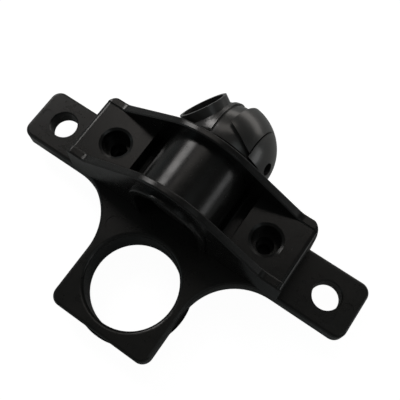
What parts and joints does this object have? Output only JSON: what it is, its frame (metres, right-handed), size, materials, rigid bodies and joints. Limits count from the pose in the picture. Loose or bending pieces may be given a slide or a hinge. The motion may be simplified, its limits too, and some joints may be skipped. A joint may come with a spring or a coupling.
{
  "type": "power cord holder",
  "caption": "Black moulded bracket with ears and a round eye; a flanged saddle clamps the neck of a hollow swivel ball that leads a power cord out to the side.",
  "frame": {"origin": "midway between the ear holes, on the bracket's mounting face", "axes": "+X along the ears, +Y from the eye towards the swivel ball, +Z out of the mounting face"},
  "size_m": [0.1, 0.067, 0.0329],
  "materials": {
    "moulded_nylon_bracket": "fine moulded grain",
    "moulded_nylon_saddle": "fine moulded grain",
    "moulded_nylon_ball": "slightly polished",
    "blackened_steel": "blackened"
  },
  "bodies": {
    "bracket": {"base_plate": "moulded_nylon_bracket", "saddle_clamp": "moulded_nylon_saddle"},
    "swivel": {"swivel_left_shell": "moulded_nylon_ball", "swivel_right_shell": "moulded_nylon_ball", "swivel_end_cap": "moulded_nylon_ball", "cap_screw": "blackened_steel", "shell_screws": "blackened_steel"}
  },
  "joints": [
    {"name": "swivel_turn", "type": "hinge", "parent": "bracket", "child": "swivel", "pos_m": [0, 0, 0.01428], "axis": [0, 1, 0], "continuous": true}
  ]
}
